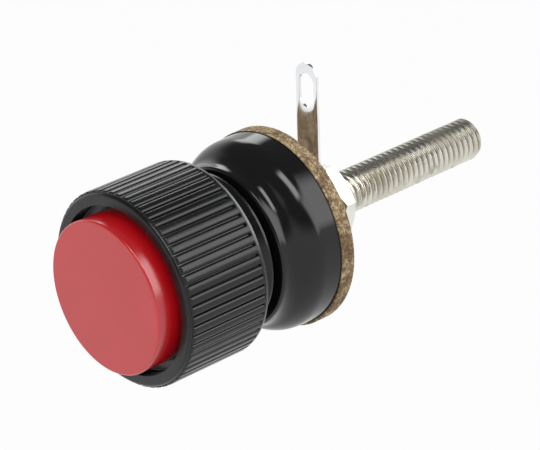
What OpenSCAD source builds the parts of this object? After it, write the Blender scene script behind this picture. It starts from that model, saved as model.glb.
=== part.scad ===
// Insulated binding post: a captive ribbed knob on an M6 stud, a moulded base,
// two fibre panel washers, and the nuts and solder tag at the back.
// The post's axis lies along Y. The coloured cap faces -Y and the stud runs towards +Y.
// The origin is on the axis where the panel seats, between the two fibre washers.

/* [Thread] */
// Outside diameter of the thread on the stud
thread_d = 6; // [5:0.5:7]
// Travel of one turn
thread_pitch = 1; // [0.7:0.05:1.25]

/* [Stud] */
// Reach of the stud behind the panel seat
stud_reach = 37.4; // [20:0.2:60]
// Diameter of the cross hole that takes a wire
wire_hole_d = 2.5; // [1.5:0.1:2.8]
// Diameter of the clamping collar turned on the stud
collar_d = 10.4; // [9.6:0.1:12]
// Thickness of the clamping collar
collar_t = 1.8; // [1:0.1:2.6]
// Width across flats of the hexagon that keeps the stud from turning in the base
root_af = 8; // [7.6:0.1:9]
// Length of that hexagon
root_l = 3; // [2:0.1:4]

/* [Knob] */
// Diameter over the ribs, which the base and the panel washers follow
knob_d = 27.1; // [26:0.1:30]
// Number of ribs round the knob
rib_count = 60; // [36:2:72]
// Length of the ribs
rib_l = 11.9; // [9.5:0.05:16]
// Depth of the grooves between the ribs
groove_depth = 0.42; // [0.2:0.01:0.6]
// Width at the bottom of a groove
groove_w = 0.2; // [0.1:0.01:0.3]
// Radius on the shoulders of a rib
rib_shoulder = 0.3; // [0.1:0.01:0.34]
// Length of the smooth rounded edge in front of the ribs
band_l = 0.53; // [0.4:0.01:1.2]
// Length of the bevelled collar behind the ribs
bevel_l = 0.9; // [0.5:0.05:1.4]
// Height of that bevel
bevel_h = 0.5; // [0.2:0.05:0.8]
// Diameter of the boss behind the ribs
boss_d = 21.4; // [18:0.1:23]
// Length of the boss
boss_l = 3.5; // [2.5:0.1:5]
// Distance that the knob screws back from closed to its stop
knob_travel = 4.5; // [3.5:0.1:5]

/* [Colour cap] */
// Diameter of the cap
cap_d = 21.2; // [16:0.1:22]
// Height of the cap above the knob's front edge
cap_proud = 2.87; // [1:0.01:4]
// Radius round the edge of the cap's face
cap_edge_r = 0.35; // [0.1:0.05:1]
// Gap between the cap and the wall of its recess
cap_gap = 1.1; // [0.5:0.05:1.4]
// Depth of the recess below the knob's front edge
recess_depth = 2.2; // [1.6:0.05:2.8]

/* [Knob bush] */
// Outside diameter of the threaded bush
bush_d = 10; // [9.2:0.1:12]
// Length of the bush
bush_l = 6.5; // [5.5:0.1:7]
// Length of the bush that stands out behind the boss
bush_proud = 0.6; // [0.2:0.05:1]
// Diameter of the plain relief in the bush's clamping end
bush_relief_d = 7.6; // [6.8:0.1:8]

/* [Stop ring] */
// Outside diameter of the ring that keeps the knob on the stud
stop_ring_d = 8.8; // [8:0.1:9]
// Thickness of the ring
stop_ring_t = 0.8; // [0.6:0.05:1]

/* [Base] */
// Length of the base from its front face to the front washer
base_l = 8.4; // [7.4:0.1:11]
// Diameter over the rounded front bead
bead_d = 22.6; // [20:0.1:23]
// Radius of the bead's round
bead_r = 1.1; // [0.8:0.05:1.6]
// How far the flange's rim lies inside the tops of the ribs
flange_inset = 0.05; // [0:0.01:0.4]
// Width of the flange's rim
flange_w = 1.58; // [1:0.02:2.5]
// How far the rim tapers in towards the front
flange_taper = 0.15; // [0:0.01:0.4]
// How far the thin lip at the back stands out from the flange
lip_proud = 0.35; // [0.1:0.05:0.8]
// Thickness of the lip
lip_t = 0.3; // [0.2:0.05:0.5]

/* [Panel washers] */
// How far the fibre washers stand out from the base's lip
washer_proud = 0.03; // [0:0.01:1]
// Thickness of one fibre washer
washer_t = 1.05; // [0.5:0.05:2]
// Play of the washers round the stud, by which they hang low
washer_play = 0.58; // [0.2:0.02:0.8]

/* [Nuts] */
// Width across flats of both nuts
nut_af = 10; // [9:0.5:11]
// Thickness of the nut that clamps the post in its panel
clamp_nut_t = 5; // [3:0.1:6]
// Thickness of the nut that holds the tag
terminal_nut_t = 2.5; // [2:0.1:4]

/* [Solder tag] */
// Thickness of the tag
tag_t = 0.4; // [0.3:0.05:0.8]
// Diameter of the tag's ring
tag_ring_d = 10.8; // [9.5:0.1:12]
// Width of the tag's strip
tag_w = 4.04; // [3.6:0.02:6]
// Height of the tag's end above the axis
tag_reach = 21.34; // [18:0.02:30]
// Width of the slot for the wire
slot_w = 2.7; // [1.5:0.05:2.9]
// Length of the slot
slot_l = 4.9; // [3.2:0.1:7]
// Material between the slot and the end of the tag
slot_margin = 1.45; // [1:0.05:3]
// Lean of the tag from upright, in degrees
tag_lean = 2.5; // [0:0.5:10]
// Diameter of the small washer on the tag
tag_washer_d = 10.6; // [9:0.1:12]
// Thickness of the small washer
tag_washer_t = 0.95; // [0.5:0.05:1.6]

/* [Hidden] */
$fn = 96;

// Radial clearance of the nuts and the bush on the thread, and of parts that turn or slide
run_gap = 0.05;
// Clearance of hidden parts that are pressed or moulded in place
seat_gap = 0.03;
// Overshoot of a cut past the face that it opens, and overlap of shapes that are joined
over = 1;
lap = 0.01;
// Room in front of the stud's end, and length of the stud in front of the stop ring
end_room = 0.5;
stud_tip = 0.6;
// Room between the cap's stem and the stud's chamber
stem_room = 0.3;
// Depth of an M6 thread, which is also the size of the stud's end chamfers
thread_depth = 0.6134 * thread_pitch;
// Height of the clamping collar above the base, and material between collar and wire hole
collar_proud = 0.5;
wire_margin = 0.5;
// Angle about the axis, from +X towards +Z, of a groove's centre and of a corner of each nut
rib_turn = 0.6;
terminal_nut_turn = 18.5;
clamp_nut_turn = 5;
// Front edge of the knob: inset from the rim and place behind the front, from the face outwards
front_edge = [[0.8, 0], [0.6, 0.05], [0.42, 0.17], [0.33, 0.35]];
// How far the smooth edge and the collar lie under the tops of the ribs
band_inset = 0.3;
collar_inset = 0.05;
// Chamfer round the recess's edge
lip_round = 0.1;
// Chamfer round the back of the boss
boss_chamfer = 0.3;
// Width and depth of the groove that holds the bush in the knob
bush_groove_w = 1.5;
bush_groove_h = 0.6;
// Share of the groove's diameter that is open in the stop ring
ring_mouth = 0.8;
// Share of the base's ogee that is hollow
cove_share = 0.41;
// Distance of the nuts' flat faces from their flats
nut_face_inset = 0.1;

// Places along Y, from the panel seat forwards
base_back = -washer_t;
base_front = base_back - base_l;
collar_front = base_front - collar_proud;
collar_back = collar_front + collar_t;
root_back = collar_back + root_l;
boss_back = collar_front - bush_proud;
boss_front = boss_back - boss_l;
rib_back = boss_front - bevel_l;
rib_front = rib_back - rib_l;
knob_front = rib_front - band_l;
recess_floor = knob_front + recess_depth;
cap_front = knob_front - cap_proud;
bush_front = collar_front - bush_l;
stop_ring_back = bush_front - knob_travel - run_gap;
stop_ring_front = stop_ring_back - stop_ring_t;
stud_front = stop_ring_front - stud_tip;
chamber_front = stud_front - end_room;
wire_hole_y = collar_front - wire_hole_d / 2 - wire_margin;
relief_front = wire_hole_y - wire_hole_d / 2 - wire_margin;

// Places along Y, from the panel seat backwards
clamp_nut_front = washer_t;
tag_front = clamp_nut_front + clamp_nut_t;
tag_washer_front = tag_front + tag_t;
terminal_nut_front = tag_washer_front + tag_washer_t;

// Radii
flange_r = knob_d / 2 - flange_inset;
lip_r = flange_r + lip_proud;
washer_r = lip_r + washer_proud;
thread_r = thread_d / 2;
thread_hole_r = thread_r + run_gap;
stop_groove_r = thread_r - thread_depth;
recess_r = cap_d / 2 + cap_gap;
washer_hole_r = thread_r + washer_play;

// Turns a shape made along Z so that it lies along Y
module along_y() rotate([-90, 0, 0]) children();

// A tube or a disc along Y, from one place to another
module ring(outer_r, inner_r, from, to) {
    along_y() translate([0, 0, from]) difference() {
        cylinder(r = outer_r, h = to - from);
        if (inner_r > 0) translate([0, 0, -over]) cylinder(r = inner_r, h = to - from + 2 * over);
    }
}

// Points on an arc, from one angle to another
function arc(centre, radius, from, to, steps) =
    [for (i = [0 : steps]) let (a = from + (to - from) * i / steps)
        centre + radius * [cos(a), sin(a)]];

// Half of one groove's outline as distance along the rim and depth: bottom corner, then the round shoulder
groove_half = concat([[groove_w / 2, groove_depth]],
    arc([groove_w / 2 + rib_shoulder, rib_shoulder], rib_shoulder, 180, 270, 3));

// The knob's ribbed outline: the same groove repeated round the rim
function rim_point(turn, p) = let (a = turn + p.x / (knob_d / 2) * 180 / PI)
    (knob_d / 2 - p.y) * [cos(a), sin(a)];
module ribbed_outline() {
    pitch = 360 / rib_count;
    polygon([for (i = [0 : rib_count - 1], side = [-1, 1], k = [0 : len(groove_half) - 1])
        let (p = groove_half[side < 0 ? len(groove_half) - 1 - k : k])
        rim_point(i * pitch - rib_turn, [side * p.x, p.y])]);
}

// The knob's outer form in half section, as radius and place along Y; the ribs stand on its barrel
module knob_section() {
    rim_r = knob_d / 2;
    root_r = rim_r - groove_depth;
    polygon(concat([[0, knob_front]],
        [for (p = front_edge) [rim_r - p.x, knob_front + p.y]], [
        [rim_r - band_inset, rib_front],
        [root_r, rib_front],
        [root_r, rib_back - groove_depth],
        [rim_r - collar_inset, rib_back],
        [rim_r - bevel_h, boss_front],
        [boss_d / 2, boss_front],
        [boss_d / 2, boss_back - boss_chamfer],
        [boss_d / 2 - boss_chamfer, boss_back],
        [0, boss_back]
    ]));
}

// The recess for the cap in half section
module recess_section() {
    polygon([
        [0, knob_front - over],
        [recess_r + lip_round, knob_front - over],
        [recess_r + lip_round, knob_front],
        [recess_r, knob_front + lip_round],
        [recess_r, recess_floor],
        [0, recess_floor]
    ]);
}

module knob() {
    color("#26282a") difference() {
        along_y() {
            rotate_extrude() knob_section();
            translate([0, 0, rib_front]) linear_extrude(rib_l) ribbed_outline();
        }
        along_y() rotate_extrude() recess_section();
        // chamber for the end of the stud, open to the cap's stem in front
        ring(bush_d / 2 + run_gap, 0, recess_floor - over, bush_front);
        // seat of the bush, with the inner rib that holds it
        along_y() rotate_extrude() bush_section(run_gap);
    }
}

// The bush in half section, grown by a clearance; the groove keeps it from sliding in the knob
module bush_section(gap) {
    rib_w = bush_groove_w - 2 * gap;
    rib_y = (bush_front + relief_front) / 2;
    difference() {
        translate([0, bush_front - gap]) square([bush_d / 2 + gap, bush_l + 2 * gap]);
        translate([bush_d / 2 - bush_groove_h + gap, rib_y - rib_w / 2]) square([bush_d, rib_w]);
    }
}

module colour_cap() {
    face_r = cap_d / 2 - cap_edge_r;
    edge_y = cap_front + cap_edge_r;
    stem_end = chamber_front - stem_room;
    color("#b0101c") along_y() rotate_extrude() {
        translate([0, cap_front]) square([face_r, recess_floor - cap_front]);
        translate([face_r, edge_y]) intersection() {
            circle(cap_edge_r);
            translate([0, -cap_edge_r]) square(cap_edge_r);
        }
        translate([face_r - lap, edge_y]) square([cap_edge_r + lap, recess_floor - edge_y]);
        translate([0, recess_floor - lap])
            square([bush_d / 2 + run_gap - seat_gap, stem_end - recess_floor + lap]);
    }
}

module knob_bush() {
    color("#c9a74e") difference() {
        along_y() rotate_extrude() bush_section(0);
        ring(thread_hole_r, 0, bush_front - over, relief_front + over);
        // plain relief at the clamping end, wide enough to keep clear of the wire hole
        ring(bush_relief_d / 2, 0, relief_front, collar_front + over);
    }
}

module stop_ring() {
    color("#8c8f93") difference() {
        ring(stop_ring_d / 2, stop_groove_r + seat_gap, stop_ring_front, stop_ring_back);
        // open side of the ring
        translate([0, (stop_ring_front + stop_ring_back) / 2, -stop_ring_d / 2])
            cube([2 * stop_groove_r * ring_mouth, stop_ring_t + over, stop_ring_d], center = true);
    }
}

module stud() {
    color("#b9b6a8") difference() {
        along_y() {
            rotate_extrude() polygon([
                [0, stud_front],
                [stop_groove_r, stud_front],
                [stop_groove_r, stop_ring_back],
                [thread_r, stop_ring_back],
                [thread_r, collar_front],
                [collar_d / 2, collar_front],
                [collar_d / 2, collar_back],
                [thread_r, collar_back],
                [thread_r, stud_reach - thread_depth],
                [thread_r - thread_depth, stud_reach],
                [0, stud_reach]
            ]);
            translate([0, 0, stud_front])
                cylinder(r1 = stop_groove_r, r2 = thread_r, h = stud_tip / 2);
            translate([0, 0, stud_front + stud_tip / 2]) cylinder(r = thread_r, h = stud_tip / 2);
            translate([0, 0, collar_back]) cylinder(r = hex_r(root_af), h = root_l, $fn = 6);
        }
        translate([0, wire_hole_y, -collar_d]) cylinder(d = wire_hole_d, h = 2 * collar_d);
    }
}

// Corner radius of a hexagon from its width across flats
function hex_r(af) = af / sqrt(3);

// The base in half section: rounded bead, an ogee of two arcs, and the rim with its thin back lip
module base_section() {
    bead_rc = bead_d / 2 - bead_r;
    ogee_y = base_front + bead_r;
    rim_r = flange_r - flange_taper;
    rim_y = base_back - lip_t - flange_w;
    // both arcs end along the axis, so their radii and their turn follow from the ogee's size
    rise = rim_r - bead_d / 2;
    radii = ((rim_y - ogee_y) ^ 2 + rise ^ 2) / (2 * rise);
    turn = acos(1 - rise / radii);
    cove_r = cove_share * radii;
    round_r = radii - cove_r;
    polygon(concat([[0, base_front]],
        arc([bead_rc, ogee_y], bead_r, -90, 0, 10),
        arc([bead_d / 2 + cove_r, ogee_y], cove_r, 180, 180 - turn, 12),
        arc([rim_r - round_r, rim_y], round_r, -turn, 0, 16), [
        [flange_r, base_back - lip_t],
        [lip_r, base_back - lip_t],
        [lip_r, base_back],
        [0, base_back]
    ]));
}

module base() {
    color("#1c1d1f") difference() {
        along_y() rotate_extrude() base_section();
        ring(thread_hole_r, 0, base_front - over, base_back + over);
        // pockets for the stud's collar and hexagon
        ring(collar_d / 2 + seat_gap, 0, base_front - over, collar_back);
        along_y() translate([0, 0, collar_back - over])
            cylinder(r = hex_r(root_af + 2 * seat_gap), h = root_l + over, $fn = 6);
    }
}

// A fibre washer that hangs on the stud by its play
module fibre_washer(from) {
    translate([0, 0, seat_gap - washer_play])
        ring(washer_r, washer_hole_r, from, from + washer_t);
}

module front_washer() {
    color("#b89a6c") fibre_washer(-washer_t);
}

module rear_washer() {
    color("#b39566") fibre_washer(0);
}

// A hexagon nut with its corners turned off at 30 degrees at both faces
module hex_nut(from, thick, turn) {
    corner_r = hex_r(nut_af);
    face_r = nut_af / 2 - nut_face_inset;
    bevel = (corner_r + lap - face_r) * tan(30);
    along_y() translate([0, 0, from]) rotate([0, 0, -turn]) difference() {
        intersection() {
            cylinder(r = corner_r, h = thick, $fn = 6);
            rotate_extrude() polygon([
                [0, 0],
                [face_r, 0],
                [corner_r + lap, bevel],
                [corner_r + lap, thick - bevel],
                [face_r, thick],
                [0, thick]
            ]);
        }
        translate([0, 0, -over]) cylinder(r = thread_hole_r, h = thick + 2 * over);
        for (end = [0, 1]) translate([0, 0, end * thick]) mirror([0, 0, end])
            cylinder(r1 = thread_hole_r + thread_depth / 2, r2 = thread_hole_r, h = thread_depth / 2);
    }
}

module clamp_nut() {
    color("#d9d6cc") hex_nut(clamp_nut_front, clamp_nut_t, clamp_nut_turn);
}

module terminal_nut() {
    color("#dedbd2") hex_nut(terminal_nut_front, terminal_nut_t, terminal_nut_turn);
}

module solder_tag() {
    end_y = tag_reach - tag_w / 2;
    slot_top = tag_reach - slot_margin - slot_w / 2;
    slot_low = slot_top - slot_l + slot_w;
    color("#c9c7c0") rotate([0, -tag_lean, 0]) translate([0, tag_front + tag_t, 0])
        rotate([90, 0, 0]) linear_extrude(tag_t) difference() {
            union() {
                circle(d = tag_ring_d);
                translate([-tag_w / 2, 0]) square([tag_w, end_y]);
                translate([0, end_y]) circle(d = tag_w);
            }
            circle(r = thread_hole_r);
            translate([0, slot_low]) circle(d = slot_w);
            translate([0, slot_top]) circle(d = slot_w);
            translate([-slot_w / 2, slot_low]) square([slot_w, slot_top - slot_low]);
        }
}

module tag_washer() {
    color("#aeaca4") ring(tag_washer_d / 2, thread_hole_r, tag_washer_front, terminal_nut_front);
}

colour_cap();
knob();
knob_bush();
stop_ring();
stud();
base();
front_washer();
rear_washer();
clamp_nut();
solder_tag();
tag_washer();
terminal_nut();
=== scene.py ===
import math

import bmesh
import bpy
import numpy as np
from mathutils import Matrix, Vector


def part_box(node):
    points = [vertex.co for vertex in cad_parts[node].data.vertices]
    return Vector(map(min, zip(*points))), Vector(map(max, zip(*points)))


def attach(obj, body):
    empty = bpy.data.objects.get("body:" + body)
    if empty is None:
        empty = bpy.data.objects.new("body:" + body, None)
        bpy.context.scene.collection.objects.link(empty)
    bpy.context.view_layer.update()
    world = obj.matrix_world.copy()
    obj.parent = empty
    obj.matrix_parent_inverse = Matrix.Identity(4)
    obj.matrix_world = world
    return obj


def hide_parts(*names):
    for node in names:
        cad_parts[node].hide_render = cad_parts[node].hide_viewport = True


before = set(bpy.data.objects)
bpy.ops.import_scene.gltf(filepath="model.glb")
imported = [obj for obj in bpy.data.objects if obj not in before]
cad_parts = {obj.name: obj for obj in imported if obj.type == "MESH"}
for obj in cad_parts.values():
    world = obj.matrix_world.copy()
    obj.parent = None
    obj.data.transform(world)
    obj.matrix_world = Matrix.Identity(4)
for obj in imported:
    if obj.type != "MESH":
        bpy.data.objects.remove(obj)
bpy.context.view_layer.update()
mm = 0.001
endInset = 0.004  # mm that a piece's end faces keep inside its solid's
rimInset = 0.005  # the same for its largest radius


def say(stage):
    # one line in the log for each stage
    print("binding post:", stage)


def span(node):
    # where a CAD node starts and ends along the post, and its radius, all in mm
    low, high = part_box(node)
    return {
        "front": low.y / mm,
        "back": high.y / mm,
        "radius": (high.z - low.z) / 2 / mm,
        "midZ": (high.z + low.z) / 2 / mm,
        "top": high.z / mm,
    }


def arc(centreY, centreR, radius, start, end, steps):
    # points (y, r) on a circle round a centre; angle 0 points along +Y and 90 away from the axis
    turn = np.radians(np.linspace(start, end, steps + 1))
    return np.column_stack([centreY + radius * np.cos(turn), centreR + radius * np.sin(turn)])


def roundedPath(corners, steps=3):
    # a polyline through (y, r, fillet) corners; each fillet is the arc that touches both sides
    points = []
    for k, (y, r, fillet) in enumerate(corners):
        here = np.array([y, r], float)
        if not fillet:
            points.append(here[None])
            continue
        toLast = np.array(corners[k - 1][:2], float) - here
        toNext = np.array(corners[(k + 1) % len(corners)][:2], float) - here
        toLast /= np.linalg.norm(toLast)
        toNext /= np.linalg.norm(toNext)
        half = math.acos(np.clip(toLast @ toNext, -1, 1)) / 2
        middle = toLast + toNext
        centre = here + middle / np.linalg.norm(middle) * fillet / math.sin(half)
        first = here + toLast * fillet / math.tan(half) - centre
        last = here + toNext * fillet / math.tan(half) - centre
        swing = math.pi - 2 * half
        t = np.linspace(0, 1, steps + 1)[:, None]
        spoke = first * np.sin((1 - t) * swing) + last * np.sin(t * swing)
        points.append(centre + spoke / math.sin(swing))
    return np.concatenate(points)


def turned(y, r, turn, midZ=0.0):
    # a turned surface: x = r cos(turn), z = r sin(turn) + midZ; y and r may change with the turn
    y, r, turn = np.broadcast_arrays(y, r, turn)
    return np.stack([r * np.cos(turn), y, r * np.sin(turn) + midZ], -1)


def fullTurn(columns):
    # even angles once round, without the last
    return np.arange(columns) / columns * 2 * math.pi


def lathe(path, columns=240, midZ=0.0):
    # the path (y, r) turned once round the axis
    return turned(path[:, :1], path[:, 1:], fullTurn(columns)[None], midZ)


def gridFaces(rows, columns, wrapRows, wrapColumns):
    # four corners of each cell of a grid, facing outwards where rows run towards +Y
    i = np.arange(rows if wrapRows else rows - 1)[:, None]
    j = np.arange(columns if wrapColumns else columns - 1)[None]
    iNext, jNext = (i + 1) % rows, (j + 1) % columns
    cell = [i * columns + j, iNext * columns + j, iNext * columns + jNext, i * columns + jNext]
    return np.stack(cell, -1).reshape(-1, 4)


def weld(mesh, turnOut=False):
    # merges points that lie together and drops faces with no area; distances in metres
    work = bmesh.new()
    work.from_mesh(mesh)
    bmesh.ops.remove_doubles(work, verts=work.verts, dist=1e-7)
    bmesh.ops.dissolve_degenerate(work, edges=work.edges, dist=1e-8)
    if turnOut:
        bmesh.ops.recalc_face_normals(work, faces=work.faces)
    work.to_mesh(mesh)
    work.free()
    mesh.validate()
    return mesh


def shellMesh(name, shells):
    # one mesh from shells (grid, wrapRows, wrapColumns), with its poles and seams welded
    points, faces, start = [], [], 0
    for grid, wrapRows, wrapColumns in shells:
        rows, columns = grid.shape[:2]
        points.append(grid.reshape(-1, 3) * mm)
        faces.append(gridFaces(rows, columns, wrapRows, wrapColumns) + start)
        start += rows * columns
    mesh = bpy.data.meshes.new(name)
    mesh.from_pydata(np.concatenate(points).tolist(), [], np.concatenate(faces).tolist())
    return weld(mesh)


def finishPiece(name, mesh, body, slot, replaced, sharp=32):
    # shades a mesh smooth but for edges past the angle, and gives it finish, body and CAD nodes
    mesh.polygons.foreach_set("use_smooth", np.ones(len(mesh.polygons), bool))
    mesh.set_sharp_from_angle(angle=math.radians(sharp))
    mesh.materials.clear()
    mesh.materials.append(finishes[slot])
    made = bpy.data.objects.new(name, mesh)
    bpy.context.scene.collection.objects.link(made)
    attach(made, body)
    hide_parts(*replaced)


def piece(name, grid, body, slot, replaced, sharp=32, wrapRows=True):
    # a piece from one grid that closes round the axis and, as a rule, from last row to first
    finishPiece(name, shellMesh(name, [(grid, wrapRows, True)]), body, slot, replaced, sharp)


def put(tree, kind, values=None, **settings):
    # adds a shader node; a value is either a number or colour, or the socket that feeds the input
    made = tree.nodes.new("ShaderNode" + kind)
    for key, value in settings.items():
        setattr(made, key, value)
    for key, value in (values or {}).items():
        if isinstance(value, bpy.types.NodeSocket):
            tree.links.new(value, made.inputs[key])
        else:
            made.inputs[key].default_value = value
    return made


def group(name, inputs, outputs):
    # an empty node group with its sockets, its input node and its output node
    tree = bpy.data.node_groups.new(name, "ShaderNodeTree")
    for socket, kind, value in inputs:
        made = tree.interface.new_socket(socket, in_out="INPUT", socket_type="NodeSocket" + kind)
        if kind != "Vector":
            made.default_value = value
    for socket, kind in outputs:
        tree.interface.new_socket(socket, in_out="OUTPUT", socket_type="NodeSocket" + kind)
    return tree, tree.nodes.new("NodeGroupInput").outputs, tree.nodes.new("NodeGroupOutput").inputs


def useGroup(tree, made, values):
    # a group placed in a material with its own values
    return put(tree, "Group", values, node_tree=made).outputs


def calc(tree, first, second, operation="MULTIPLY"):
    # one step of arithmetic
    return put(tree, "Math", {0: first, 1: second}, operation=operation).outputs[0]


def between(tree, mask, low, high):
    # low where the mask is 0, high where it is 1
    return calc(tree, calc(tree, mask, high - low), low, "ADD")


def ramp(tree, value, low, high, outLow=0.0, outHigh=1.0, shape="SMOOTHSTEP"):
    # outLow below low, outHigh above high, and a smooth or a straight step between
    ends = {"From Min": low, "From Max": high, "To Min": outLow, "To Max": outHigh}
    made = put(tree, "MapRange", {"Value": value, **ends}, interpolation_type=shape)
    return made.outputs["Result"]


def blendColour(tree, factor, first, second):
    # the first colour where the factor is 0, the second where it is 1 (the node's inputs 6 and 7)
    return put(tree, "Mix", {0: factor, 6: first, 7: second}, data_type="RGBA").outputs[2]


def noise(tree, place, scale, detail, roughness=0.5):
    # cloudy noise from 0 to 1; the scale is in waves to the metre
    values = {"Vector": place, "Scale": scale, "Detail": detail, "Roughness": roughness}
    return put(tree, "TexNoise", values).outputs["Fac"]


def relief(tree, height, depth, under=None):
    # a bump of this depth in metres, on top of another normal where one is given
    values = {"Height": height, "Distance": depth, "Strength": 1.0}
    if under is not None:
        values["Normal"] = under
    return put(tree, "Bump", values).outputs["Normal"]


def makeFineGrain():
    # fine noise at Scale gives the bump, and noise at a fifteenth of it gives slow patches
    tree, given, out = group(
        "fineGrain",
        [("Vector", "Vector", 0), ("Scale", "Float", 900.0), ("Depth", "Float", 0.000004)],
        [("Fine", "Float"), ("Patches", "Float"), ("Normal", "Vector")],
    )
    fine = noise(tree, given["Vector"], given["Scale"], 3.0)
    slow = noise(tree, given["Vector"], calc(tree, given["Scale"], 0.066), 2.0)
    tree.links.new(fine, out["Fine"])
    tree.links.new(ramp(tree, slow, 0.35, 0.65), out["Patches"])
    tree.links.new(relief(tree, fine, given["Depth"]), out["Normal"])
    return tree


def makeSpecks():
    # specks where a cell's distance falls under Size, thinned out by slow noise
    tree, given, out = group(
        "dustSpecks",
        [
            ("Vector", "Vector", 0),
            ("Scale", "Float", 1500.0),
            ("Size", "Float", 0.12),
            ("Cover", "Float", 0.5),
        ],
        [("Mask", "Float")],
    )
    place = given["Vector"]
    cells = put(tree, "TexVoronoi", {"Vector": place, "Scale": given["Scale"], "Randomness": 1.0})
    speck = ramp(tree, cells.outputs["Distance"], 0.0, given["Size"], 1.0, 0.0, "LINEAR")
    least = calc(tree, 1.0, given["Cover"], "SUBTRACT")
    keep = calc(tree, noise(tree, place, 260.0, 2.0), least, "GREATER_THAN")
    tree.links.new(calc(tree, speck, keep), out["Mask"])
    return tree


def makeTurnedLines():
    # noise along the radius only, so that its lines run round the post's axis like tool marks
    tree, given, out = group(
        "turnedLines",
        [("Vector", "Vector", 0), ("Scale", "Float", 6000.0)],
        [("Height", "Float"), ("Radius", "Float")],
    )
    parts = put(tree, "SeparateXYZ", {"Vector": given["Vector"]}).outputs
    flat = put(tree, "CombineXYZ", {"X": parts["X"], "Y": 0.0, "Z": parts["Z"]}).outputs[0]
    radius = put(tree, "VectorMath", {0: flat}, operation="LENGTH").outputs["Value"]
    values = {"W": calc(tree, radius, given["Scale"]), "Scale": 1.0, "Detail": 2.0}
    lines = put(tree, "TexNoise", values, noise_dimensions="1D").outputs["Fac"]
    tree.links.new(lines, out["Height"])
    tree.links.new(radius, out["Radius"])
    return tree


def makeEdgeWear():
    # the mesh's convex edges, broken up by noise
    tree, given, out = group(
        "edgeWear",
        [
            ("Vector", "Vector", 0),
            ("Low", "Float", 0.52),
            ("High", "Float", 0.6),
            ("Scale", "Float", 1200.0),
        ],
        [("Mask", "Float")],
    )
    edge = put(tree, "NewGeometry").outputs["Pointiness"]
    crest = ramp(tree, edge, given["Low"], given["High"], shape="LINEAR")
    broken = ramp(tree, noise(tree, given["Vector"], given["Scale"], 4.0), 0.3, 0.6)
    tree.links.new(calc(tree, crest, broken), out["Mask"])
    return tree


fineGrain = makeFineGrain()
dustSpecks = makeSpecks()
turnedLines = makeTurnedLines()
edgeWear = makeEdgeWear()


def startFinish(slot, **sockets):
    # a material with its plain constants on the shader, and the object's own coordinates
    made = bpy.data.materials.new(slot)
    made.use_nodes = True
    tree = made.node_tree
    shader = tree.nodes["Principled BSDF"]
    for key, value in sockets.items():
        shader.inputs[key.replace("_", " ")].default_value = value
    place = put(tree, "TexCoord").outputs["Object"]
    return made, tree, shader.inputs, place


def addGrain(tree, place, finish):
    # a finish's grain: waves to the metre, and depth in metres
    scale, depth = finish["grain"]
    return useGroup(tree, fineGrain, {"Vector": place, "Scale": scale, "Depth": depth})


def addLines(tree, place, finish):
    # a finish's tool marks: waves to the metre
    return useGroup(tree, turnedLines, {"Vector": place, "Scale": finish["lines"]})


def addSpecks(tree, place, colour, finish):
    # specks over a colour: cells to the metre, size as a share of a cell, and how much they cover
    scale, size, cover = finish["specks"]
    values = {"Vector": place, "Scale": scale, "Size": size, "Cover": cover}
    mask = useGroup(tree, dustSpecks, values)["Mask"]
    return blendColour(tree, calc(tree, mask, finish["speckShare"]), colour, finish["speckColour"])


def addWear(tree, place, colour, worn, finish):
    # another colour along the convex edges
    low, high = finish["wear"]
    mask = useGroup(tree, edgeWear, {"Vector": place, "Low": low, "High": high})["Mask"]
    return blendColour(tree, calc(tree, mask, finish["wearShare"]), colour, worn)


def feed(tree, shader, colour, normal, roughness=None):
    # gives the shader what changes over the surface
    tree.links.new(colour, shader["Base Color"])
    tree.links.new(normal, shader["Normal"])
    if roughness is not None:
        tree.links.new(roughness, shader["Roughness"])


knobFinish = {
    "colour": (0.0075, 0.008, 0.0088, 1),
    "worn": (0.03, 0.03, 0.031, 1),
    "wear": (0.53, 0.66),
    "wearShare": 0.5,
    "roughness": (0.17, 0.28),
    "faceRoughness": 0.1,  # added on the front face
    "grain": (2600.0, 0.0000035),
    "lines": 9000.0,
    "lineDepth": 0.000006,
    "faceDepth": 0.12,  # mm behind the front edge at which the turned lines stop
    "faceBlend": 0.05,
    "specks": (2300.0, 0.1, 0.42),
    "speckShare": 0.35,
    "speckColour": (0.16, 0.155, 0.14, 1),
}


def makeKnobFinish():
    # satin moulding: a fine grain, turned lines on the front face, worn edges and a little dust
    made, tree, shader, place = startFinish("black_knob", IOR=1.42)
    grain = addGrain(tree, place, knobFinish)
    lines = addLines(tree, place, knobFinish)
    along = put(tree, "SeparateXYZ", {"Vector": place}).outputs["Y"]
    faceEnd = (span("knob")["front"] + knobFinish["faceDepth"]) * mm
    blend = knobFinish["faceBlend"] * mm
    onFace = ramp(tree, along, faceEnd - blend, faceEnd + blend, 1.0, 0.0)
    colour = addWear(tree, place, knobFinish["colour"], knobFinish["worn"], knobFinish)
    colour = addSpecks(tree, place, colour, knobFinish)
    roughness = between(tree, grain["Patches"], *knobFinish["roughness"])
    extra = calc(tree, onFace, knobFinish["faceRoughness"])
    height = calc(tree, lines["Height"], onFace)
    normal = relief(tree, height, knobFinish["lineDepth"], grain["Normal"])
    feed(tree, shader, colour, normal, calc(tree, roughness, extra, "ADD"))
    return made


baseFinish = {
    "colour": (0.007, 0.0072, 0.008, 1),
    "roughness": (0.06, 0.13),
    "grain": (3000.0, 0.0000006),
    "flow": 260.0,  # waves to the metre of the moulding's flow marks, which bend the reflections
    "flowDepth": 0.000012,
    "specks": (1900.0, 0.08, 0.4),
    "speckShare": 0.3,
    "speckColour": (0.12, 0.12, 0.11, 1),
}


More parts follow.
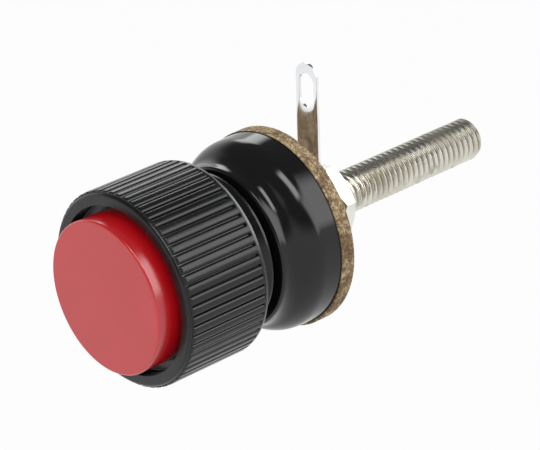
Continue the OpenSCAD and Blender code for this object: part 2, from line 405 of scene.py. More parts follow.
def makeBaseFinish():
    # gloss moulding: slow flow marks under a very fine grain, and a little dust
    made, tree, shader, place = startFinish("black_base", IOR=1.42)
    grain = addGrain(tree, place, baseFinish)
    flow = noise(tree, place, baseFinish["flow"], 1.0)
    normal = relief(tree, flow, baseFinish["flowDepth"], grain["Normal"])
    colour = addSpecks(tree, place, baseFinish["colour"], baseFinish)
    feed(tree, shader, colour, normal, between(tree, grain["Patches"], *baseFinish["roughness"]))
    return made


capFinish = {
    "colour": (0.56, 0.007, 0.012, 1),
    "deep": (0.50, 0.005, 0.01, 1),
    "deepShare": 0.5,
    "roughness": (0.16, 0.24),
    "grain": (1900.0, 0.000002),
    "specks": (1400.0, 0.07, 0.42),
    "speckShare": 0.3,
    "speckColour": (0.45, 0.2, 0.18, 1),
}


def makeCapFinish():
    # semi-gloss moulding: slow deeper patches, a fine grain in gloss and height, and a little dust
    made, tree, shader, place = startFinish("red_cap", IOR=1.5, Specular_IOR_Level=0.9)
    grain = addGrain(tree, place, capFinish)
    patches = calc(tree, grain["Patches"], capFinish["deepShare"])
    colour = blendColour(tree, patches, capFinish["colour"], capFinish["deep"])
    colour = addSpecks(tree, place, colour, capFinish)
    roughness = between(tree, grain["Fine"], *capFinish["roughness"])
    feed(tree, shader, colour, grain["Normal"], roughness)
    return made


fibreFinish = {
    "tan": (0.26, 0.17, 0.083, 1),
    "light": (0.62, 0.48, 0.29, 1),
    "flakes": 2300.0,
    "flakeStep": (0.44, 0.58),
    "flakeDepth": 0.00004,
    "brown": (0.13, 0.066, 0.032, 1),
    "brownPatches": 620.0,
    "brownStep": (0.48, 0.62),
    "brownShare": 0.7,
    "grain": (2400.0, 0.00002),
    "specks": (2600.0, 0.5, 0.56),
    "speckShare": 0.8,
    "speckColour": (0.03, 0.018, 0.012, 1),
}


def makeFibreFinish():
    # pressed fibre: pale flakes on tan, broad brown patches, and dark specks between
    finish = fibreFinish
    made, tree, shader, place = startFinish("fibre", Roughness=0.78, IOR=1.45)
    flakes = noise(tree, place, finish["flakes"], 5.0, 0.7)
    broad = noise(tree, place, finish["brownPatches"], 4.0)
    pale = ramp(tree, flakes, *finish["flakeStep"])
    brown = ramp(tree, broad, *finish["brownStep"], 0.0, finish["brownShare"])
    colour = blendColour(tree, pale, finish["tan"], finish["light"])
    colour = blendColour(tree, brown, colour, finish["brown"])
    colour = addSpecks(tree, place, colour, finish)
    grain = addGrain(tree, place, finish)
    feed(tree, shader, colour, relief(tree, flakes, finish["flakeDepth"], grain["Normal"]))
    return made


metalFinish = {
    "grain": (2400.0, 0.0000025),
    "wear": (0.53, 0.62),
    "wearShare": 0.4,
    "wornGain": 1.12,  # how much brighter the edges are
}

metals = {
    "plated_stud": {
        "bright": (0.72, 0.70, 0.63, 1),
        "dull": (0.60, 0.57, 0.49, 1),
        "roughness": (0.16, 0.34),
        "lines": 5200.0,
        "lineDepth": 0.000002,
        # the colour darkens towards the thread's root, and in stains from slow noise
        "darkRootRadius": (2.42, 2.75),  # full at the thread's root, gone at the second radius
        "darkColour": (0.20, 0.18, 0.13, 1),
        "darkRootShare": 0.6,
        "stains": 420.0,
        "stainStep": (0.52, 0.7),
        "stainShare": 0.45,
        "darkenedRoughness": 0.25,
    },
    "plated_nut": {
        "bright": (0.80, 0.785, 0.745, 1),
        "dull": (0.72, 0.70, 0.65, 1),
        "roughness": (0.13, 0.25),
        "lines": 7000.0,
        "lineDepth": 0.000003,
    },
    "tinned_tag": {
        "bright": (0.88, 0.895, 0.915, 1),
        "dull": (0.80, 0.815, 0.835, 1),
        "roughness": (0.09, 0.17),
        "lines": 2500.0,
        "lineDepth": 0.0000006,
    },
    "brass": {
        "bright": (0.78, 0.57, 0.24, 1),
        "dull": (0.66, 0.45, 0.17, 1),
        "roughness": (0.18, 0.32),
        "lines": 6500.0,
        "lineDepth": 0.000003,
    },
    "spring_steel": {
        "bright": (0.55, 0.55, 0.56, 1),
        "dull": (0.42, 0.42, 0.43, 1),
        "roughness": (0.22, 0.36),
        "lines": 6500.0,
        "lineDepth": 0.000003,
    },
}


def makeMetalFinish(slot, metal):
    # plated metal: slow patches change the tint and the roughness, tool marks run round the axis,
    # and edges are brighter
    made, tree, shader, place = startFinish(slot, Metallic=1.0)
    grain = addGrain(tree, place, metalFinish)
    lines = addLines(tree, place, metal)
    worn = tuple(min(1, metalFinish["wornGain"] * c) for c in metal["bright"])
    colour = blendColour(tree, grain["Patches"], metal["bright"], metal["dull"])
    colour = addWear(tree, place, colour, worn, metalFinish)
    roughness = between(tree, grain["Patches"], *metal["roughness"])
    if "darkRootRadius" in metal:
        colour, roughness = addDarkRootAndStains(tree, place, colour, roughness, lines["Radius"], metal)
    normal = relief(tree, lines["Height"], metal["lineDepth"], grain["Normal"])
    feed(tree, shader, colour, normal, roughness)
    return made


def addDarkRootAndStains(tree, place, colour, roughness, radius, metal):
    # darker and duller near the root of the thread, and in stains
    low, high = (edge * mm for edge in metal["darkRootRadius"])
    deep = calc(tree, ramp(tree, radius, low, high, 1.0, 0.0), metal["darkRootShare"])
    stain = ramp(tree, noise(tree, place, metal["stains"], 4.0), *metal["stainStep"])
    darkened = calc(tree, deep, calc(tree, stain, metal["stainShare"]), "MAXIMUM")
    dulled = calc(tree, darkened, metal["darkenedRoughness"])
    colour = blendColour(tree, darkened, colour, metal["darkColour"])
    return colour, calc(tree, roughness, dulled, "ADD")


finishes = {
    "black_knob": makeKnobFinish(),
    "black_base": makeBaseFinish(),
    "red_cap": makeCapFinish(),
    "fibre": makeFibreFinish(),
}
for slotName, metalValues in metals.items():
    finishes[slotName] = makeMetalFinish(slotName, metalValues)
say("finishes made")


knob = {
    "ribs": 60,
    "ribTurn": 0.6,  # degrees of the first groove from +X towards +Z
    "grooveDepth": 0.42,
    "grooveWidth": 0.12,
    "shoulder": 0.41,
    "frontRound": 0.45,  # round edge between the front face and the feet of the ribs
    "frontDrop": 0.31,  # how far the feet lie under the tops of the ribs
    "ribRound": 0.3,
    "grooveStart": 0.5,  # the grooves have their full depth this far behind the round edge
    "grooveStop": 0.5,  # the grooves end this far in front of the rear face
    "rearShoulder": 0.14,
    "bevel": 0.4,
    "bevelHeight": 0.13,
    "bevelEdge": 0.06,
    "bossRadius": 10.7,
    "bossLength": 3.5,
    "bossLand": 0.35,  # straight part at the back of the boss
    "neckRadius": 9.2,  # the boss narrows to this radius where it meets the knob
    "neckLength": 1.2,
    "neckFillet": 0.9,
    "recessRadius": 11.7,
    "recessDepth": 2.2,
    "recessFillet": 0.15,
    "lip": 0.1,
    "boreRadius": 5.05,
}


def grooveProfile(distance, depth, width, shoulder):
    # flat bottom out to half the width, a short wall, then a quarter round up to the rim
    rise = np.clip(distance - width / 2, 0, shoulder)
    quarter = shoulder - np.sqrt(np.maximum(shoulder**2 - (shoulder - rise) ** 2, 0))
    return np.where(distance < width / 2 - 1e-6, depth, quarter)


def makeKnob():
    # a turned outline; where the ribs stand, the grooves are taken off its radius
    place = span("knob")
    front, back, rim = place["front"], place["back"], place["radius"] - rimInset
    bossFront = back - knob["bossLength"]
    floor, wall, lip = front + knob["recessDepth"], knob["recessRadius"], knob["lip"]
    edge, drop, ribRound = knob["frontRound"], knob["frontDrop"], knob["ribRound"]
    width, shoulder, depth = knob["grooveWidth"], knob["shoulder"], knob["grooveDepth"]
    bore, neck, boss = knob["boreRadius"], knob["neckRadius"], knob["bossRadius"]
    reach = width / 2 + shoulder
    rearReach = width / 2 + knob["rearShoulder"]
    ribFront = front + edge
    grooveEnd = bossFront - knob["grooveStop"] - rearReach
    bevelFront = bossFront - knob["bevel"]

    recess = [
        (floor, bore, 0),
        (floor, wall, knob["recessFillet"]),
        (front + lip, wall, 0.04),
        (front, wall + lip, 0.03),
    ]
    corner = arc(ribFront, rim - drop - edge, edge, 180, 90, 6)
    foot = arc(ribFront + ribRound, rim - ribRound, ribRound, 180, 90, 6)
    plainRows = np.linspace(ribFront + 0.6, grooveEnd - 0.4, 7)
    ribRows = np.concatenate([plainRows, grooveEnd + np.linspace(0, 1, 8) * rearReach])
    ribs = np.column_stack([ribRows, np.full(len(ribRows), rim)])
    tail = [
        (bevelFront - knob["bevelEdge"], rim, 0),
        (bevelFront, rim - 0.01, 0.04),
        (bossFront, rim - knob["bevelHeight"], 0.03),
        (bossFront, neck, 0.2),
        (bossFront + knob["neckLength"], neck, knob["neckFillet"]),
        (back - knob["bossLand"], boss - 0.03, 0.05),
        (back, boss, 0.08),
        (back, bore, 0),
    ]
    path = np.concatenate([roundedPath(recess), corner, foot, ribs, roundedPath(tail)])
    y, r = path[:, :1], path[:, 1:]

    # columns stand close together across each groove and once on the top of each rib
    rising = width / 2 + shoulder * np.array([0.06, 0.18, 0.36, 0.6, 1])
    half = np.concatenate([[width / 2 - 0.002, width / 2 + 0.002], rising])
    pitch = 2 * math.pi / knob["ribs"]
    perRib = np.concatenate([-half[::-1], [0], half, [pitch * rim / 2]])
    centres = math.radians(knob["ribTurn"]) + np.arange(knob["ribs"]) * pitch
    turn = (centres[:, None] + perRib[None] / rim).reshape(1, -1)
    across = np.tile(np.abs(perRib), knob["ribs"])[None]

    # the groove's depth follows the distance to its centre line, which ends round at the back;
    # at the front it comes up to the feet of the ribs
    past = np.maximum(y - grooveEnd, 0) * reach / rearReach
    cut = grooveProfile(np.hypot(across, past), depth, width, shoulder)
    startRows = [ribFront + ribRound / 2, ribFront + knob["grooveStart"]]
    cut = np.minimum(cut, np.interp(y, startRows, [drop, depth]))
    ribbed = (y > ribFront - 0.01) & (y < bevelFront - knob["bevelEdge"] - 0.01)
    ribbed = ribbed & (r > rim - 2 * drop)
    grid = turned(y, np.where(ribbed, np.minimum(r, rim - cut), r), turn)
    piece("ribbedKnob", grid, "knob", "black_knob", ("knob",), sharp=40)


makeKnob()
say("knob")


cap = {
    "radius": 10.6,
    "edge": 0.35,
    "crown": 0.03,  # the face is this much lower at its edge
    "stemRadius": 5.02,
}


def makeCap():
    # a plain turned button: nearly flat face, round edge, straight side, and the stem in the knob
    place = span("colour_cap")
    floor = span("knob")["front"] + knob["recessDepth"]
    radius, edge, stem = cap["radius"] - rimInset, cap["edge"], cap["stemRadius"]
    rimY = place["front"] + cap["crown"]
    t = np.linspace(0, 1, 14)[:, None]
    face = np.hstack([place["front"] + cap["crown"] * t**2, (radius - edge) * t])
    side = [
        (rimY, radius - edge - 0.02, 0),
        (rimY, radius, edge - 0.03),
        (floor, radius, 0.05),
        (floor, stem, 0),
        (place["back"], stem, 0.1),
        (place["back"], 0, 0),
    ]
    grid = lathe(np.concatenate([face, roundedPath(side, 12)]))
    piece("redCap", grid, "knob", "red_cap", ("colour_cap",), wrapRows=False)


makeCap()
say("cap")


stud = {
    "radius": 3.0,
    "inset": 0.003,  # the crests keep this far inside the solid
    "pitch": 1.0,
    "depth": 0.6134,
    "crest": 0.125,  # crest's share of the pitch
    "crestDrop": 0.03,  # how far the crest's edges lie below its middle
    "rootRise": 0.05,  # the same for the root
    "startChamfer": 0.2,
    "endChamfer": 0.66,
    "collar": 1.8,
    "collarEdge": 0.15,
    "collarGap": 0.03,  # the collar and its hexagon meet this far in front of the base's step
    "root": 3.0,  # length of the hexagon that sits in the base
    "hexagon": 8.0,
    "hexagonCorner": 4.6,
    "wireHole": 1.25,
    "wireMargin": 0.5,
    "tip": 0.28,  # length of the cone at the front end
}

base = {
    "hang": 0.4,  # how far the moulding's outside lies below the post's axis
    "beadRadius": 11.3,
    "beadRound": 0.45,
    "beadLand": 0.4,
    "flangeRadius": 13.5,
    "rimWidth": 2.4,
    "rimTaper": 0.03,
    "lipRadius": 13.66,
    "lip": 0.13,
    "coveShare": 0.37,
    "bore": 3.08,
}


def makeBase():
    # bead, then two arcs that meet and both end along the axis, then the rim and its thin back lip:
    # the arcs' radii add up to (length^2 + rise^2) / (2 rise)
    place = span("base")
    front, back = place["front"], place["back"]
    beadRound, bead, flange = base["beadRound"], base["beadRadius"], base["flangeRadius"]
    coveY = front + beadRound + base["beadLand"]
    lipY = back - base["lip"]
    rimY, rimRadius = lipY - base["rimWidth"], flange - base["rimTaper"]
    rise = rimRadius - bead
    radii = ((rimY - coveY) ** 2 + rise**2) / (2 * rise)
    swing = math.degrees(math.acos(1 - rise / radii))
    cove = base["coveShare"] * radii
    lip = [
        (lipY - 0.02, flange, 0.03),
        (lipY, base["lipRadius"], 0.05),
        (back, base["lipRadius"], 0.05),
    ]
    outside = np.concatenate(
        [
            arc(front + beadRound, bead - beadRound, beadRound, 180, 90, 14),
            arc(coveY, bead + cove, cove, 270, 270 + swing, 18),
            arc(rimY, rimRadius - (radii - cove), radii - cove, 90 + swing, 90, 26)[1:],
            roundedPath(lip),
        ]
    )
    collarBack = span("knob_bush")["back"] + stud["collar"]
    hexagonBack = collarBack + stud["root"] + 0.04
    hexagon, collar = stud["hexagonCorner"] + 0.06, span("stud")["radius"] + 0.03
    inside = [
        [back, base["bore"]],
        [hexagonBack, base["bore"]],
        [hexagonBack, hexagon],
        [collarBack, hexagon],
        [collarBack, collar],
        [front, collar],
    ]
    path = np.concatenate([outside, inside])
    midZ = np.where(np.arange(len(path)) < len(outside), -base["hang"], 0)[:, None]
    piece("mouldedBase", lathe(path, midZ=midZ), "post", "black_base", ("base",))


makeBase()
say("base")


fibre = {
    "bore": 3.58,
    "edge": 0.1,
    "waver": 0.02,  # how much the cut edge wanders
    "inset": 0.006,
}


def makeFibreWasher(node, name, phase):
    # a punched disc: its rim wanders by a few hundredths in three slow waves
    place = span(node)
    turn = fullTurn(260)[None]
    front, back = place["front"] + fibre["inset"], place["back"] - fibre["inset"]
    rim = place["radius"] - fibre["waver"]
    outline = [
        (front, fibre["bore"], 0),
        (front, rim, fibre["edge"]),
        (back, rim, fibre["edge"]),
        (back, fibre["bore"], 0),
    ]
    path = roundedPath(outline)
    wave = np.sin(5 * turn + phase) + 0.6 * np.sin(11 * turn + 2 * phase) + 0.4 * np.sin(23 * turn)
    outer = path[:, 1:] > place["radius"] - 0.3
    r = path[:, 1:] + np.where(outer, fibre["waver"] / 4 * wave, 0)
    piece(name, turned(path[:, :1], r, turn, place["midZ"]), "post", "fibre", (node,))


makeFibreWasher("front_washer", "frontFibreWasher", 0.7)
makeFibreWasher("rear_washer", "rearFibreWasher", 2.1)
say("fibre washers")


def flankShare():
    # a flank's share of the pitch: the depth times the tangent of 30 degrees
    return stud["depth"] * math.tan(math.radians(30)) / stud["pitch"]


def threadRadius(t):
    # height over one pitch: round crest, straight flank, round root, straight flank
    crest, flank, depth = stud["crest"], flankShare(), stud["depth"]
    rootEdge = (1 - crest - 2 * flank) * 0.3
    stops = [0, crest * 0.35, crest * 0.65, crest, crest + flank, crest + flank + rootEdge]
    stops += [1 - flank - rootEdge, 1 - flank, 1]
    high, low = -stud["crestDrop"], stud["rootRise"] - depth
    heights = [high, 0, 0, high, low, -depth, -depth, low, high]
    return stud["radius"] - stud["inset"] + np.interp(t, stops, heights)


def closedThread(start, end, endChamfer, columns=72):
    # rows follow the helix: y falls by one pitch for each turn from +X towards +Z, a right-hand
    # thread; both ends are cut flat, chamfered and closed with a disc
    crest, flank, pitch = stud["crest"], flankShare(), stud["pitch"]
    stops = [0, crest * 0.35, crest * 0.65, crest, crest + flank / 2, crest + flank]
    stops += [crest + flank + 0.05, 1 - flank - 0.05, 1 - flank, 1 - flank / 2]
    turns = np.arange(math.floor(start / pitch) - 1, math.ceil(end / pitch) + 3)
    t = (turns[:, None] + np.array(stops)[None]).reshape(-1, 1)
    turn = np.linspace(0, 1, columns + 1)[None]
    y = np.clip(t * pitch - turn * pitch, start, end)
    r = threadRadius(np.broadcast_to(t % 1, y.shape))
    height = stud["depth"] + 0.04  # the chamfers begin just under the thread's root
    core = stud["radius"] - height
    r = np.minimum(r, core + np.maximum(y - start, 0) / stud["startChamfer"] * height)
    r = np.minimum(r, core + np.maximum(end - y, 0) / endChamfer * height)
    grid = turned(y, r, turn * 2 * math.pi)
    middle = np.zeros_like(grid[:1])
    return np.concatenate([middle + [0, start, 0], grid, middle + [0, end, 0]])


def hexRadius(turn, flats, corner, first=0.0):
    # a hexagon's outline: its flats, and at each corner an arc that touches both flats
    apothem = flats / 2
    sector = (turn - first) % (math.pi / 3) - math.pi / 6  # 0 in the middle of a flat
    angle = np.abs(sector)
    reach = (apothem - corner) / math.cos(math.pi / 6)
    touch = math.atan((apothem - corner) * math.tan(math.pi / 6) / apothem)
    off = math.pi / 6 - angle
    rounded = reach * np.cos(off) + np.sqrt(np.maximum(corner**2 - (reach * np.sin(off)) ** 2, 0))
    return np.where(angle < touch, apothem / np.cos(angle), rounded)


def hexColumns(first=0.0):
    # columns gather at the six corners, which lie at first and every 60 degrees
    steps = np.concatenate([np.linspace(-27, 27, 13), [28, 28.7, 29.35, 30, 30.65, 31.3, 32]])
    return first + np.radians(steps[None] + 30 + 60 * np.arange(6)[:, None]).reshape(1, -1)


def cutHole(mesh, middleY, radius, length):
    # the mesh less a round hole along Z
    tool = bmesh.new()
    wide, deep = radius * mm, length * mm
    bmesh.ops.create_cone(tool, cap_ends=True, segments=48, radius1=wide, radius2=wide, depth=deep)
    toolMesh = bpy.data.meshes.new("holeTool")
    tool.to_mesh(toolMesh)
    tool.free()
    solid, cutter = (bpy.data.objects.new(part.name, part) for part in (mesh, toolMesh))
    for part in (solid, cutter):
        bpy.context.scene.collection.objects.link(part)
    cutter.location = (0, middleY * mm, 0)
    cut = solid.modifiers.new("hole", "BOOLEAN")
    cut.operation, cut.solver, cut.object = "DIFFERENCE", "EXACT", cutter
    bpy.context.view_layer.update()
    done = solid.evaluated_get(bpy.context.evaluated_depsgraph_get())
    result = bpy.data.meshes.new_from_object(done)
    for part in (solid, cutter):
        bpy.data.objects.remove(part)
    return result


def joinMeshes(name, meshes):
    # several closed surfaces in one mesh, which stay apart
    joined = bmesh.new()
    for mesh in meshes:
        joined.from_mesh(mesh)
    result = bpy.data.meshes.new(name)
    joined.to_mesh(result)
    joined.free()
    return result


def makeStud():
    # the rear thread, the front thread with its wire hole, and between and before them turned or
    # six-sided surfaces with the columns of a hexagon
    place, ring = span("stud"), span("stop_ring")
    tipY, collar = place["front"] + endInset, place["radius"] - rimInset
    collarFront = span("knob_bush")["back"]
    collarBack = collarFront + stud["collar"]
    rootBack = collarBack + stud["root"]
    core = stud["radius"] - stud["depth"]
    columns = hexColumns()
    nose = np.array(
        [
            [tipY, 0],
            [tipY, core - 0.25],
            [place["front"] + stud["tip"], core],
            [ring["front"] - 0.02, core],
            [ring["back"], core - 0.02],
            [ring["back"], 0],
        ]
    )
    discBack, hexagonBack = collarBack - stud["collarGap"], rootBack - 0.04
    disc = [
        (collarFront + endInset, 0, 0),
        (collarFront + endInset, collar, stud["collarEdge"]),
        (discBack, collar, 0),
        (discBack, 4.0, 0),
    ]
    disc = roundedPath(disc, 4)
    root = np.minimum(hexRadius(columns, stud["hexagon"], 0.15), stud["hexagonCorner"])
    middle = np.concatenate(
        [
            turned(disc[:, :1], disc[:, 1:], columns),
            turned(discBack, root, columns),
            turned(hexagonBack, root, columns),
            turned(hexagonBack, 0, columns),
        ]
    )
    rear = closedThread(rootBack, place["back"] - endInset, stud["endChamfer"])
    shells = [(rear, False, False), (turned(nose[:, :1], nose[:, 1:], columns), False, True)]
    shells.append((middle, False, True))
    front = closedThread(ring["back"] + 0.002, collarFront + 0.05, stud["startChamfer"])
    wireY = collarFront - stud["wireHole"] - stud["wireMargin"]
    whole = shellMesh("frontThread", [(front, False, False)])
    drilled = cutHole(whole, wireY, stud["wireHole"], 10)
    mesh = joinMeshes("platedStud", [shellMesh("studShells", shells), drilled])
    finishPiece("platedStud", mesh, "post", "plated_stud", ("stud",), sharp=28)


makeStud()
say("stud")


nut = {
    "flats": 10.0,
    "corner": 0.12,
    "faceInset": 0.1,
    "edge": 0.03,
    "bore": 3.05,
    "boreChamfer": 0.4,
    "chamferSlope": 0.7,  # the chamfer's depth over its width
}


def makeNut(node, name, body, cornerTurn):
    # six flats; a 30 degree cone at each face meets them in the curved lines of a turned chamfer
    place = span(node)
    front, back = place["front"] + endInset, place["back"] - endInset
    first = math.radians(cornerTurn)
    turn = hexColumns(first)
    outline = hexRadius(turn, nut["flats"] - 2 * rimInset, nut["corner"], first)
    faceRadius = nut["flats"] / 2 - nut["faceInset"]
    drop = (outline - faceRadius) * math.tan(math.radians(30))
    bore, chamfer, edge = nut["bore"], nut["boreChamfer"], nut["edge"]
    half = [  # depth under the face, radius
        (chamfer * nut["chamferSlope"], bore),
        (0.02, bore + chamfer),
        (0, bore + chamfer + 0.05),
        (0, faceRadius - 0.08),
        (0.012, faceRadius),
        (drop, outline - edge),
        (drop + edge, outline),
    ]
    rows = [turned(front + depth, r, turn) for depth, r in half]
    rows.append(turned((front + back) / 2, outline, turn))
    rows += [turned(back - depth, r, turn) for depth, r in reversed(half)]
    piece(name, np.concatenate(rows), body, "plated_nut", (node,), sharp=24)


makeNut("clamp_nut", "clampNut", "post", 5.0)
makeNut("terminal_nut", "terminalNut", "terminal_nut", 18.5)


def makeTagWasher():
    # a small punched washer: the front edge is drawn round, the rear edge is sharp
    place = span("tag_washer")
    front, back = place["front"] + endInset, place["back"] - endInset
    bore, rim = nut["bore"] + 0.1, place["radius"] - 0.01
    outline = [(front, bore, 0.05), (front, rim, 0.2), (back, rim, 0.05), (back, bore, 0.05)]
    grid = lathe(roundedPath(outline, 4), 120)
    piece("tagWasher", grid, "tag_washer", "plated_nut", ("tag_washer",))


makeTagWasher()
say("nuts and small washer")


tag = {
    "width": 4.04,
    "lean": 2.5,  # degrees from upright, towards -X
    "ring": 10.8,
    "bore": 6.1,
    "slotWidth": 2.7,
    "slotLength": 4.9,
    "slotMargin": 1.45,
    "edge": 0.04,
}


def tagOutline(reach, steps=22):
    # strip with a round end, standing on the ring that goes round the stud
    half, ring = tag["width"] / 2, tag["ring"] / 2
    top = np.radians(np.linspace(0, 180, steps))
    join = math.acos(half / ring)
    foot = np.linspace(math.pi - join, 2 * math.pi + join, 60)
    upper = np.column_stack([half * np.cos(top), reach - half + half * np.sin(top)])
    lower = np.column_stack([ring * np.cos(foot), ring * np.sin(foot)])
    return np.concatenate([upper, lower])


def slotOutline(reach, steps=16):
    # two half circles joined by straight sides
    half = tag["slotWidth"] / 2
    high = reach - tag["slotMargin"] - half
    low = high - tag["slotLength"] + tag["slotWidth"]
    top = np.radians(np.linspace(0, 180, steps))
    upper = np.column_stack([half * np.cos(top), high + half * np.sin(top)])
    return np.concatenate([upper, np.column_stack([-upper[:, 0], low - (upper[:, 1] - high)])])


def makeTag():
    # the flat outline with its two openings, given a thickness and a fine bevel, then stood up
    place = span("solder_tag")
    lean, edge = math.radians(tag["lean"]), tag["edge"]
    reach = place["top"] / math.cos(lean) - endInset
    turn = fullTurn(64)
    bore = np.column_stack([np.cos(turn), np.sin(turn)]) * tag["bore"] / 2
    curve = bpy.data.curves.new("tagOutline", "CURVE")
    curve.dimensions, curve.fill_mode = "2D", "BOTH"
    curve.extrude = ((place["back"] - place["front"]) / 2 - edge) * mm
    curve.bevel_depth, curve.offset = edge * mm, -edge * mm
    curve.bevel_resolution = 2
    for loop in (tagOutline(reach), bore, slotOutline(reach)):
        line = curve.splines.new("POLY")
        line.points.add(len(loop) - 1)
        flatPoints = np.column_stack([loop * mm, np.zeros(len(loop)), np.ones(len(loop))])
        line.points.foreach_set("co", flatPoints.ravel())
        line.use_cyclic_u = True
    flat = bpy.data.objects.new("tagOutline", curve)
    bpy.context.scene.collection.objects.link(flat)
    bpy.context.view_layer.update()
    done = flat.evaluated_get(bpy.context.evaluated_depsgraph_get())
    mesh = bpy.data.meshes.new_from_object(done)
    bpy.data.objects.remove(flat)
    co = np.empty(len(mesh.vertices) * 3, np.float32)
    mesh.vertices.foreach_get("co", co)
    across, up, through = co.reshape(-1, 3).T
    x = across * math.cos(lean) - up * math.sin(lean)
    z = across * math.sin(lean) + up * math.cos(lean)
    y = (place["front"] + place["back"]) / 2 * mm - through
    mesh.vertices.foreach_set("co", np.column_stack([x, y, z]).astype(np.float32).ravel())
    weld(mesh, turnOut=True)
    finishPiece("solderTag", mesh, "post", "tinned_tag", ("solder_tag",), sharp=40)


makeTag()
say("solder tag")


# two small CAD nodes keep their own shapes and get their finishes
for nodeName, slotName in (("knob_bush", "brass"), ("stop_ring", "spring_steel")):
    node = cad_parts[nodeName]
    node.data.materials.clear()
    node.data.materials.append(finishes[slotName])


studio = {
    "floorDrop": 62.0,  # mm below the post's axis
    "floorSize": 6.0,  # half a side, in metres
    "floorPaint": (0.82, 0.82, 0.82, 1),
    "floorWhite": 0.95,  # share of the floor that shows as plain white
    "ambient": 0.6,
    "overhead": 0.14,  # what is mirrored above the horizon's glow
    "horizon": 1.0,
    "glow": (0.12, 0.5),  # the glow fades between these heights of a unit ray
}


def makeFloor():
    # a pale floor that the camera and the reflections see as white, with a part of the real shadow
    side, drop = studio["floorSize"], studio["floorDrop"] * mm
    mesh = bpy.data.meshes.new("floor")
    corners = [(x * side, y * side, -drop) for x, y in ((-1, -1), (1, -1), (1, 1), (-1, 1))]
    mesh.from_pydata(corners, [], [(0, 1, 2, 3)])
    floor = bpy.data.objects.new("floor", mesh)
    bpy.context.scene.collection.objects.link(floor)
    material = bpy.data.materials.new("floorPaint")
    material.use_nodes = True
    tree = material.node_tree
    tree.nodes.clear()
    path = put(tree, "LightPath").outputs
    seen = calc(tree, path["Is Camera Ray"], path["Is Glossy Ray"], "MAXIMUM")
    seen = calc(tree, seen, path["Is Transmission Ray"], "MAXIMUM")
    paint = put(tree, "BsdfDiffuse", {"Color": studio["floorPaint"]}).outputs[0]
    white = put(tree, "Emission", {"Color": (1, 1, 1, 1), "Strength": 1.0}).outputs[0]
    mix = put(tree, "MixShader", {0: calc(tree, seen, studio["floorWhite"]), 1: paint, 2: white})
    put(tree, "OutputMaterial", {"Surface": mix.outputs[0]})
    mesh.materials.append(material)


# what polished surfaces mirror: each is a soft-edged rectangle in the sky, its sizes in degrees
reflections = {
    "overhead": {"towards": (0.346, 0.04, 0.938), "half": (8, 17), "soft": 9, "level": 8.0},
    "rearRight": {"towards": (0.598, 0.60, 0.53), "half": (27, 21), "soft": 14, "level": 3.6},
    "behind": {"towards": (0.12, 0.95, 0.28), "half": (28, 14), "soft": 8, "level": 5.0},
    "rearLeft": {"towards": (-0.72, 0.6, 0.34), "half": (12, 9), "soft": 10, "level": 3.5},
    "front": {"towards": (0.1, -0.86, 0.5), "half": (16, 14), "soft": 16, "level": 0.8},
}


def cosine(tree, direction, axis):
    # the cosine between two directions
    values = {0: direction, 1: axis}
    return put(tree, "VectorMath", values, operation="DOT_PRODUCT").outputs["Value"]


def softBox(tree, direction, values):
    # its level inside both half angles, falling to 0 over the soft angle, and nothing behind
    middle = Vector(values["towards"]).normalized()
    across = middle.cross((0, 0, 1)).normalized()
    ahead = ramp(tree, cosine(tree, direction, middle), 0.0, 0.1)
    fade = values["soft"] / 2
    sides = []
    for axis, half in zip((across, across.cross(middle)), values["half"]):
        off = calc(tree, cosine(tree, direction, axis), 0.0, "ABSOLUTE")
        inner, outer = (math.sin(math.radians(turn)) for turn in (half - fade, half + fade))
        sides.append(ramp(tree, off, inner, outer, 1.0, 0.0))
    return calc(tree, calc(tree, calc(tree, *sides), ahead), values["level"])


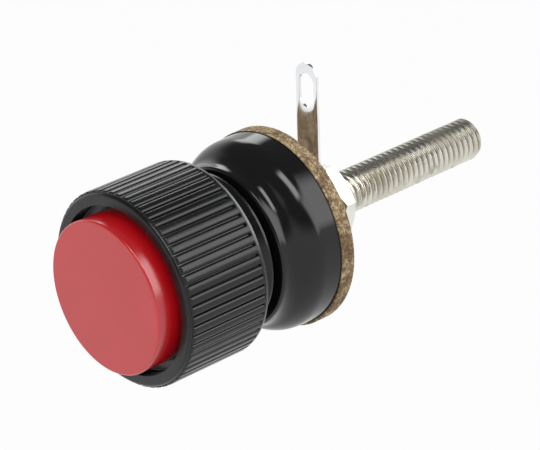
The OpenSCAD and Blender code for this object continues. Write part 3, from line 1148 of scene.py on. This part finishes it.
def makeWorld():
    # white to the camera; in reflections white near the horizon, dark overhead, with the soft
    # boxes; plain light otherwise
    world = bpy.data.worlds.new("studio")
    bpy.context.scene.world = world
    world.use_nodes = True
    tree = world.node_tree
    tree.nodes.clear()
    path = put(tree, "LightPath").outputs
    direction = put(tree, "TexCoord").outputs["Generated"]
    up = put(tree, "SeparateXYZ", {"Vector": direction}).outputs["Z"]
    mirrored = ramp(tree, up, *studio["glow"], studio["horizon"], studio["overhead"])
    for values in reflections.values():
        mirrored = calc(tree, mirrored, softBox(tree, direction, values), "MAXIMUM")
    other = calc(tree, 1.0, path["Is Glossy Ray"], "SUBTRACT")
    plain = calc(tree, other, studio["ambient"])
    level = calc(tree, calc(tree, path["Is Glossy Ray"], mirrored), plain, "ADD")
    seen = calc(tree, path["Is Camera Ray"], path["Is Transmission Ray"], "MAXIMUM")
    level = calc(tree, level, seen, "MAXIMUM")
    back = put(tree, "Background", {"Color": (1, 1, 1, 1), "Strength": level})
    put(tree, "OutputWorld", {"Surface": back.outputs[0]})


# soft boxes for matt surfaces: distance and size in metres
lamps = {
    "overhead": {
        "towards": (0.346, 0.04, 0.938),
        "distance": 0.45,
        "size": (0.2, 0.26),
        "level": 2.0,
    },
    "front": {
        "towards": (0.25, -0.86, 0.45),
        "distance": 0.6,
        "size": (0.4, 0.4),
        "level": 2.0,
    },
}


def makeLamp(name, values):
    # power = level x pi x area, so that the level is the brightness of the lamp's face
    wide, high = values["size"]
    data = bpy.data.lights.new(name, "AREA")
    data.shape, data.size, data.size_y = "RECTANGLE", wide, high
    data.energy = values["level"] * math.pi * wide * high
    lamp = bpy.data.objects.new(name, data)
    bpy.context.scene.collection.objects.link(lamp)
    lamp.visible_glossy = False
    towards = Vector(values["towards"]).normalized()
    lamp.location = towards * values["distance"]
    lamp.rotation_mode = "QUATERNION"
    lamp.rotation_quaternion = towards.to_track_quat("Z", "Y")


cameraPlace = {
    "azimuth": 47.002,  # 0 looks along +Y and 90 along -X
    "elevation": 28.375,
    "position": (250.11, -234.475, 184.79),
    "lens": 193.33,
    "sensor": 36.0,
    "clip": (0.01, 20.0),  # metres
}


def makeCamera():
    # away is the direction from the object to the camera
    a, e = math.radians(cameraPlace["azimuth"]), math.radians(cameraPlace["elevation"])
    away = Vector((math.sin(a) * math.cos(e), -math.cos(a) * math.cos(e), math.sin(e)))
    data = bpy.data.cameras.new("camera")
    data.lens, data.sensor_width = cameraPlace["lens"], cameraPlace["sensor"]
    data.clip_start, data.clip_end = cameraPlace["clip"]
    camera = bpy.data.objects.new("camera", data)
    bpy.context.scene.collection.objects.link(camera)
    camera.location = Vector(cameraPlace["position"]) * mm
    camera.rotation_mode = "QUATERNION"
    camera.rotation_quaternion = (-away).to_track_quat("-Z", "Y")
    bpy.context.scene.camera = camera


makeFloor()
makeWorld()
for lampName, lampValues in lamps.items():
    makeLamp(lampName, lampValues)
makeCamera()
bpy.context.scene.view_settings.view_transform = "Standard"
say("floor, light and camera")
